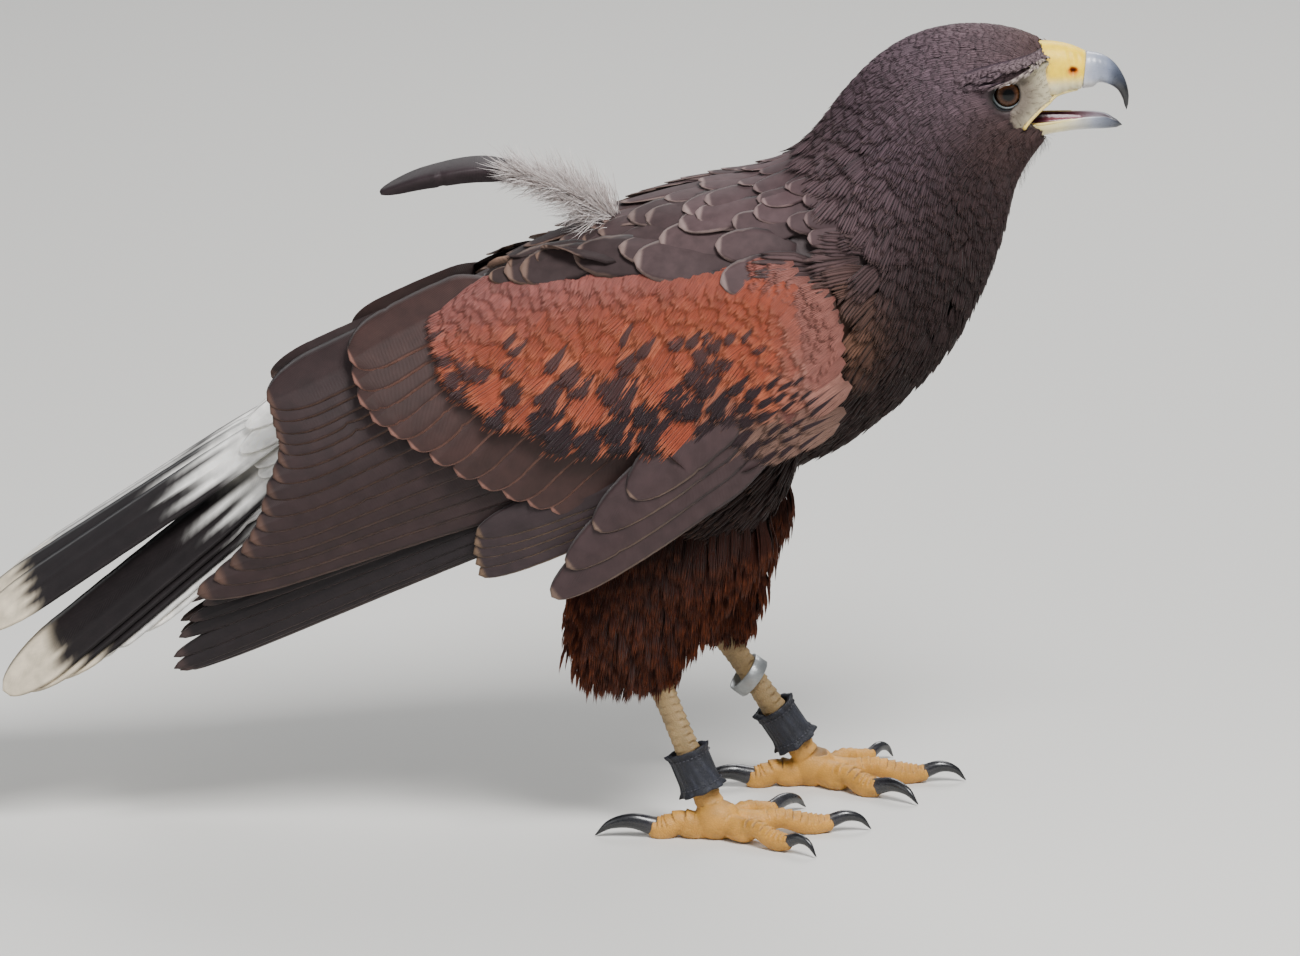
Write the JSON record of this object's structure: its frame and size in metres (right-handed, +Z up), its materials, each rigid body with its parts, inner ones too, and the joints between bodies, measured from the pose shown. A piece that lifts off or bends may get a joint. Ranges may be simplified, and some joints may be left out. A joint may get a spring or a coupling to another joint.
{
  "type": "harris hawk",
  "caption": "Life-size walking Harris's hawk with neck out, bill open and wings folded, in leather anklets; a still model.",
  "frame": {"origin": "bottom centre of the bounding box, on the floor under the feet", "axes": "+X ahead, the way that the bird faces; +Y to its left; +Z up"},
  "size_m": [0.4624, 0.1438, 0.3239],
  "materials": {
    "body_feathers": "soft dark brown feathers with a faint sheen",
    "wing_feathers": "rufous shoulder and dark brown vanes with tan edges",
    "tail_feathers": "white at the base, black, with cream tips",
    "thigh_feathers": "hair-like dark rufous feathers",
    "down_feathers": "dark blade with pale grey down",
    "leg_scales": "yellow scales, dull",
    "claw_horn": "black horn, smooth",
    "bill_horn": "blue-grey horn, black at the tip",
    "cere_skin": "smooth waxy yellow skin",
    "mouth_skin": "moist maroon skin",
    "eye_surface": "wet, brown iris and black pupil",
    "anklet_leather": "thin black leather",
    "ring_metal": "dull, brushed"
  },
  "bodies": {
    "root": {"torso": "body_feathers", "neck": "body_feathers", "head": "body_feathers", "cere": "cere_skin", "bill_upper": "bill_horn", "bill_lower": "bill_horn", "tongue": "mouth_skin", "eye_right": "eye_surface", "eye_left": "eye_surface", "thigh_right": "thigh_feathers", "tarsus_right": "leg_scales", "foot_right": "leg_scales", "anklet_right": "anklet_leather", "claw_right_middle": "claw_horn", "claw_right_inner": "claw_horn", "claw_right_outer": "claw_horn", "claw_right_hind": "claw_horn", "thigh_left": "thigh_feathers", "tarsus_left": "leg_scales", "foot_left": "leg_scales", "anklet_left": "anklet_leather", "claw_left_middle": "claw_horn", "claw_left_inner": "claw_horn", "claw_left_outer": "claw_horn", "claw_left_hind": "claw_horn", "leg_ring_left": "ring_metal", "tail": "tail_feathers", "wing_right": "wing_feathers", "wing_left": "wing_feathers", "loose_feather": "down_feathers"}
  },
  "joints": []
}
